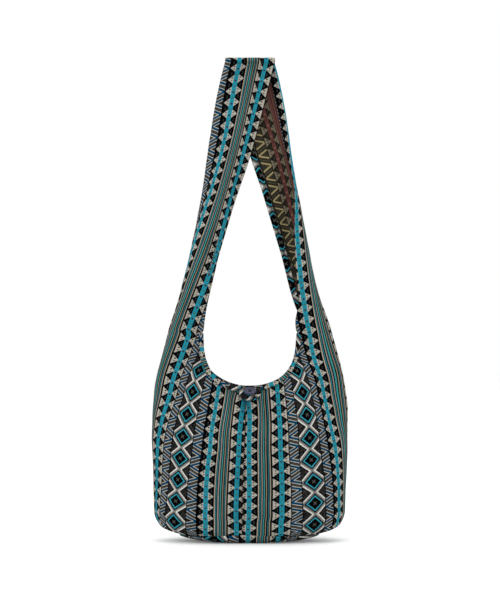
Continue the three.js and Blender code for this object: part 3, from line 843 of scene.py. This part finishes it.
def crownVertex(arm, over, half, fromEdge):
    angle = min(1, over / panel["crownRows"]) * math.pi / 2
    radius, flat = cloth["crownRadius"], cloth["crownFlat"]
    onFlat = over > panel["crownRows"]
    fromSeam = cloth["seamGap"] / 2 if onFlat else flat + radius * math.cos(angle)
    height = crownStart + radius * math.sin(angle)
    across, turned = armPlace(arm, crownStart, half, fromEdge)
    point = Vector((crownMiddle + across, arm["side"] * fromSeam, height))
    normal = Vector((0, arm["side"] * math.cos(angle), math.sin(angle)))
    if turned:
        point = hemPoint(point, normal, Vector((half, 0, 0)), turned)
    beyond = radius * angle + (flat if onFlat else 0)
    return point, chartPlace(arm, crownStart + beyond, across + half * turned)


def panelVertex(arm, i, j):
    half, share, fromEdge = columnPlace(j)
    step = i - panel["bodyRows"]
    if step <= 0:
        return bodyVertex(arm, i, half, share)
    if step <= panel["armRows"]:
        return armVertex(arm, step, half, fromEdge)
    return crownVertex(arm, step - panel["armRows"], half, fromEdge)


def isCloth(i, j):
    low, high = panel["mouthColumns"], columns - panel["mouthColumns"]
    hem = panel["hemColumns"] if i > panel["bodyRows"] else 0
    return i < panel["bodyRows"] or low - hem <= j < high + hem


# A sheet from a grid: place gives each crossing's point and its place on the woven cloth
def clothSheet(wide, high, place, outward, keep=None, weld=0):
    bm = bmesh.new()
    bmesh.ops.create_grid(bm, x_segments=wide, y_segments=high, size=0.5)

    def crossing(vert):
        return round((vert.co.y + 0.5) * high), round((vert.co.x + 0.5) * wide)

    if keep:
        corners = {face: [crossing(vert) for vert in face.verts] for face in bm.faces}
        spare = [face for face, c in corners.items() if not keep(*map(min, zip(*c)))]
        bmesh.ops.delete(bm, geom=spare, context="FACES")
    placed = {vert: place(*crossing(vert)) for vert in bm.verts}
    uv = bm.loops.layers.uv.new("cloth")
    for vert, (point, chart) in placed.items():
        vert.co = point
        for loop in vert.link_loops:
            loop[uv].uv = chart
    if weld:
        bmesh.ops.remove_doubles(bm, verts=bm.verts, dist=weld)
    bm.normal_update()
    if sum(face.normal.dot(outward(face.calc_center_median())) for face in bm.faces) < 0:
        bmesh.ops.reverse_faces(bm, faces=bm.faces)
    return bm


# A piece of cloth: rounded, given its thickness, and with the reverse of the weave inside
def newPiece(replaced, bm, thickness):
    name = replaced + "_cloth"
    mesh = bpy.data.meshes.new(name)
    bm.to_mesh(mesh)
    bm.free()
    mesh.shade_smooth()
    mesh.materials.append(wovenFace)
    mesh.materials.append(wovenReverse)
    piece = bpy.data.objects.new(name, mesh)
    scene.collection.objects.link(piece)
    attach(piece, "root")
    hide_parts(replaced)
    smooth = piece.modifiers.new("smooth", "SUBSURF")
    smooth.levels = smooth.render_levels = cloth["smoothing"]
    wall = piece.modifiers.new("wall", "SOLIDIFY")
    wall.thickness = thickness
    wall.offset = 0
    wall.material_offset = 1
    wall.use_even_offset = True
    return piece


def makePanel(name, arm):
    def outward(point):
        return Vector((arm["side"], 0, 0)) if point.z < mouth else Vector()

    bm = clothSheet(columns, rows, lambda i, j: panelVertex(arm, i, j), outward, isCloth)
    return newPiece(name, bm, cloth["thickness"])


leftPanel = makePanel("left_panel", leftArm)
rightPanel = makePanel("right_panel", rightArm)
print("panels done")

# Base: a shallow dish of cloth inside the bottom seam
base = {
    "flatHalfLength": 0.062,
    "flatHalfDepth": 0.034,
    "squareness": 1.35,
    "steps": 12,
    "flatSteps": 4,
    "halfPoints": 36,
    "seamTuck": 0.0012,
    "seamTuckSteps": 1.2,
    "stripesMiddle": 0.0194,  # where the fine stripes cross the base
    "floorGap": 0.0007,
}


def rimPoints():
    shares = [2 * k / base["halfPoints"] for k in range(base["halfPoints"])]
    walk = [(1, share) for share in shares] + [(-1, 2 - share) for share in shares] + [(-1, 0)]
    sides = []
    for arm in (leftArm, rightArm):
        lines = [(half, *baseLine(share)) for half, share in walk]
        sides.append([clothPoint(arm, along, half * across) for half, across, along in lines])
    left, right = sides
    return left[:-1] + right[::-1][:-1]


baseRimPoints = rimPoints()
baseHalfDepth = max(-point.y for point in baseRimPoints)


def baseVertex(i, j):
    rim = baseRimPoints[j % len(baseRimPoints)]
    steps = base["steps"]
    angle = min(1, i / steps) * math.pi / 2
    power = 2 / base["squareness"]
    inward, up = 1 - math.cos(angle) ** power, 1 - math.sin(angle) ** power
    left = 1 - max(0, i - steps) / base["flatSteps"]
    x = lerp(rim.x, rim.x * base["flatHalfLength"] / cloth["baseHalfLength"], inward) * left
    y = lerp(rim.y, rim.y * base["flatHalfDepth"] / baseHalfDepth, inward) * left
    z = lerp(base["floorGap"], rim.z - cloth["seamGap"], up)
    tuck = base["seamTuck"] * math.exp(-((i / base["seamTuckSteps"]) ** 2))
    return Vector((x, y * (1 - tuck / baseHalfDepth), z)), (x - base["stripesMiddle"], y)


baseSheet = clothSheet(len(baseRimPoints), base["steps"] + base["flatSteps"], baseVertex,
                       lambda point: Vector((0, 0, -1)), weld=1e-5)
basePanel = newPiece("base_panel", baseSheet, cloth["thickness"])
print("base done")

# Bindings: a strip of the same cloth folded over each rim of the mouth
binding = {
    "width": 0.006,
    "standOff": 0.0024,  # from the middle of the rim's cloth to the middle of the strip
    "nose": 0.0019,
    "halfPoints": 60,
    "legSteps": 4,
    "noseSteps": 6,
    "thickness": 0.001,
    "endShare": 0.6,  # of the thickness: the ends run out into the strap's hems
    "endReach": 0.014,
    "pucker": 0.0003,
    "puckerPitch": 0.0062,
    "puckerStart": -0.001,
    "chartStart": 0.06,  # where the strip was cut from the weave
}


def rimPlace(arm, half, share):
    across, along = mouthLine(share)
    across *= half
    point = clothPoint(arm, along, across)
    normal = clothNormal(arm, along, across)
    below = clothPoint(arm, along - binding["width"] / 2, across)
    return point, normal, below


def rimPath(half):
    shares = [k / binding["halfPoints"] for k in range(binding["halfPoints"] + 1)]
    left = [rimPlace(leftArm, half, share) for share in reversed(shares)]
    right = [rimPlace(rightArm, half, share) for share in shares[1:]]
    return left + right


def bindingProfile():
    width, legs, turns = binding["width"], binding["legSteps"], binding["noseSteps"]
    leg = [(width * (1 - k / legs), binding["standOff"]) for k in range(legs)]
    arc = [math.pi / 2 - math.pi * k / turns for k in range(turns + 1)]
    nose = [(-binding["nose"] * math.cos(a), binding["standOff"] * math.sin(a)) for a in arc]
    return leg + nose + [(x, -y) for x, y in reversed(leg)]


def makeBinding(name, half):
    path, outline = rimPath(half), bindingProfile()
    lengths = [0]
    for (a, _, _), (b, _, _) in zip(path, path[1:]):
        lengths.append(lengths[-1] + (b - a).length)
    whole = lengths[-1]

    def place(i, j):
        point, normal, below = path[i]
        ahead, behind = path[min(i + 1, len(path) - 1)][0], path[max(i - 1, 0)][0]
        inward = normal.cross(ahead - behind).normalized()
        if inward.dot(below - point) < 0:
            inward.negate()
        done = lengths[i]
        x, y = outline[j]
        thin = lerp(binding["endShare"], 1, ease(min(done, whole - done), 0, binding["endReach"]))
        x, y = x * (thin if x < 0 else 1), y * thin
        pucker = binding["pucker"] * math.sin(done / binding["puckerPitch"] * 2 * math.pi)
        y += math.copysign(pucker * ease(x, binding["puckerStart"], binding["width"]), y)
        across = sum(math.dist(a, b) for a, b in zip(outline, outline[1:j + 1]))
        return point + inward * x + normal * y, (done - whole / 2 - binding["chartStart"], across)

    bm = clothSheet(len(outline) - 1, len(path) - 1, place, lambda point: Vector((0, 0, 1)))
    return newPiece(name, bm, binding["thickness"]), whole


frontBinding, frontRim = makeBinding("front_binding", 1)
backBinding, backRim = makeBinding("back_binding", -1)
print("bindings done")

# Loop: a strip rolled into a soft cord, from the back rim over the front and round the button
loop = {
    "halfWidth": 0.0034,
    "halfThickness": 0.0018,
    "halfSpan": 0.0133,
    "drop": 0.014,
    "middleDrop": 0.7,  # share of the drop round which the cord is turned
    "lift": 0.0007,
    "flatness": 0.62,  # of the strip where it crosses the rim
    "flatDrop": 0.006,
    "clearance": 0.005,
    "standOff": 0.001,
    "twist": 0.07,
    "twistRate": 0.9,
    "twistLean": 0.25,
    "steps": 64,
    "sides": 14,
    "thickness": 0.0007,
    "stripWidth": 0.018,
    "chartStart": 0.0535,  # where the strip was cut from the weave
}


def clothAt(x, height):
    point = clothPoint(leftArm, height, halfGirth(height) - abs(x))
    return Vector((x, point.y - loop["standOff"], point.z))


def loopInFront(share, drop):
    return clothAt(share * loop["halfSpan"], mouth - drop) + forward * loop["clearance"]


def loopOnTop(share, y):
    return Vector((share * loop["halfSpan"], y, mouth + loop["lift"]))


gap = cloth["pinchHalfGap"]
loopHalf = [
    loopInFront(0.72, 0.82 * loop["drop"]),
    loopInFront(1, 0.42 * loop["drop"]),
    Vector((*loopInFront(0.97, 0).xy, mouth + 0.5 * loop["lift"])),
    loopOnTop(0.85, -1.2 * gap),
    loopOnTop(0.7, 0),
    loopOnTop(0.6, gap),
]
mirrored = [Vector((-p.x, p.y, p.z)) for p in reversed(loopHalf)]
loopKnots = mirrored + [loopInFront(0, loop["drop"])] + loopHalf


def alongKnots(knots, t):
    place = t * (len(knots) - 1)
    k = min(int(place), len(knots) - 2)
    f = place - k
    a, b = knots[max(k - 1, 0)], knots[k]
    c, d = knots[k + 1], knots[min(k + 2, len(knots) - 1)]
    return b + ((c - a) * f + (2 * a - 5 * b + 4 * c - d) * f ** 2
                + (3 * b - a - 3 * c + d) * f ** 3) / 2


loopLine = [alongKnots(loopKnots, k / loop["steps"]) for k in range(loop["steps"] + 1)]
loopLength = sum((b - a).length for a, b in zip(loopLine, loopLine[1:]))


def loopVertex(i, j):
    point = loopLine[i]
    tangent = loopLine[min(i + 1, loop["steps"])] - loopLine[max(i - 1, 0)]
    away = point - Vector((point.x, 0, mouth - loop["middleDrop"] * loop["drop"]))
    across = away.cross(tangent).normalized()
    out = tangent.cross(across).normalized()
    angle = 2 * math.pi * (j % loop["sides"]) / loop["sides"]
    lean = math.cos(angle + i * loop["twistLean"])
    twist = 1 + loop["twist"] * math.sin(i * loop["twistRate"]) * lean
    flatness = lerp(1, loop["flatness"], ease(point.z, mouth - loop["flatDrop"], mouth))
    point = point + (across * math.cos(angle) * loop["halfWidth"]
                     + out * math.sin(angle) * loop["halfThickness"] * flatness) * twist
    onStrip = j / loop["sides"] * loop["stripWidth"]
    return point, (loop["chartStart"] + onStrip, i / loop["steps"] * loopLength)


def fromLoop(point):
    nearest = min(loopLine, key=lambda p: (p - point).length)
    return point - nearest


loopSheet = clothSheet(loop["sides"], loop["steps"], loopVertex, fromLoop, weld=1e-6)
buttonLoop = newPiece("button_loop", loopSheet, loop["thickness"])
print("loop done")

# Button and its thread keep their solids
button = {
    "dark": srgb(34, 36, 56),
    "light": srgb(58, 60, 86),
    "cloudScale": 260,
    "cloudDetail": 4,
    "roughness": 0.35,
    "roughnessVary": 0.2,
    "specular": 0.3,
}
thread = {
    "dark": srgb(22, 24, 30),
    "light": srgb(52, 54, 62),
    "plyScale": 900,
    "plyDepth": 0.0001,
    "roughness": 0.8,
}


def buttonMaterial():
    material, nodes, shader = newMaterial("slateButton")
    cloud = nodes.new("ShaderNodeTexNoise")
    cloud.inputs["Scale"].default_value = button["cloudScale"]
    cloud.inputs["Detail"].default_value = button["cloudDetail"]
    nodes.feed(cloud.inputs["Vector"], nodes.new("ShaderNodeTexCoord").outputs["Object"])
    clouds = cloud.outputs[0]
    rough = nodes.add(nodes.times(clouds, button["roughnessVary"]), button["roughness"])
    nodes.feed(shader["Base Color"], nodes.paint(button["dark"], clouds, button["light"]))
    nodes.feed(shader["Roughness"], rough)
    nodes.feed(shader["Specular IOR Level"], button["specular"])
    return material


def threadMaterial():
    material, nodes, shader = newMaterial("darkThread")
    ply = nodes.new("ShaderNodeTexWave", wave_type="BANDS", bands_direction="DIAGONAL")
    ply.inputs["Scale"].default_value = thread["plyScale"]
    nodes.feed(ply.inputs["Vector"], nodes.new("ShaderNodeTexCoord").outputs["Object"])
    plies = ply.outputs["Fac"]
    bump = nodes.new("ShaderNodeBump")
    bump.inputs["Distance"].default_value = thread["plyDepth"]
    nodes.feed(bump.inputs["Height"], plies)
    nodes.feed(shader["Base Color"], nodes.paint(thread["dark"], plies, thread["light"]))
    nodes.feed(shader["Normal"], bump.outputs[0])
    nodes.feed(shader["Roughness"], thread["roughness"])
    return material


def dress(node, material):
    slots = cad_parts[node].data.materials
    slots.clear()
    slots.append(material)


dress("button", buttonMaterial())
dress("button_thread", threadMaterial())
print("button done")

# Floor, light and camera
studio = {
    "floorHalf": 6,
    "floorColour": (0.92, 0.92, 0.92, 1),
    "floorRoughness": 0.9,
    "floorGlow": 0.1,
    "white": (1, 1, 1, 1),
    "world": 1,
    "keyPlace": (-1.3, -1.7, 1.9),
    "keySize": 1.4,
    "keyPower": 9,
    "topPlace": (0, -0.1, 2.4),
    "topSize": 1.1,
    "topPower": 16,
    "lightAim": (0, 0, 0.35),
    "sensor": 36,
    "cameraDistance": 3.2,
    "frameHeight": 0.909,  # of the photograph's frame, at the front of the bag
    "frameMiddle": 0.368,
    "frontPlane": -0.03,
}
bm = bmesh.new()
bmesh.ops.create_grid(bm, x_segments=2, y_segments=2, size=studio["floorHalf"])
floorMesh = bpy.data.meshes.new("floor")
bm.to_mesh(floorMesh)
bm.free()
floor = bpy.data.objects.new("floor", floorMesh)
scene.collection.objects.link(floor)
pale, paleNodes, paleShader = newMaterial("paleFloor")
paleNodes.feed(paleShader["Base Color"], studio["floorColour"])
paleNodes.feed(paleShader["Roughness"], studio["floorRoughness"])
paleNodes.feed(paleShader["Emission Color"], studio["white"])
paleNodes.feed(paleShader["Emission Strength"], studio["floorGlow"])
floorMesh.materials.append(pale)

world = bpy.data.worlds.new("studio")
scene.world = world
world.use_nodes = True
background = world.node_tree.nodes["Background"].inputs
background["Color"].default_value = studio["white"]
background["Strength"].default_value = studio["world"]


def softLight(name):
    light = bpy.data.lights.new(name, "AREA")
    light.size = studio[name + "Size"]
    light.energy = studio[name + "Power"]
    lamp = bpy.data.objects.new(name, light)
    lamp.location = studio[name + "Place"]
    aim = Vector(studio["lightAim"]) - lamp.location
    lamp.rotation_euler = aim.to_track_quat("-Z", "Y").to_euler()
    scene.collection.objects.link(lamp)


softLight("key")
softLight("top")

lens = bpy.data.cameras.new("camera")
lens.sensor_fit = "VERTICAL"
lens.sensor_height = studio["sensor"]
toFront = studio["cameraDistance"] + studio["frontPlane"]
lens.lens = studio["sensor"] * toFront / studio["frameHeight"]
camera = bpy.data.objects.new("camera", lens)
camera.location = (0, -studio["cameraDistance"], studio["frameMiddle"])
camera.rotation_euler = (math.pi / 2, 0, 0)
scene.collection.objects.link(camera)
scene.camera = camera
scene.view_settings.view_transform = "Standard"
print("studio done")
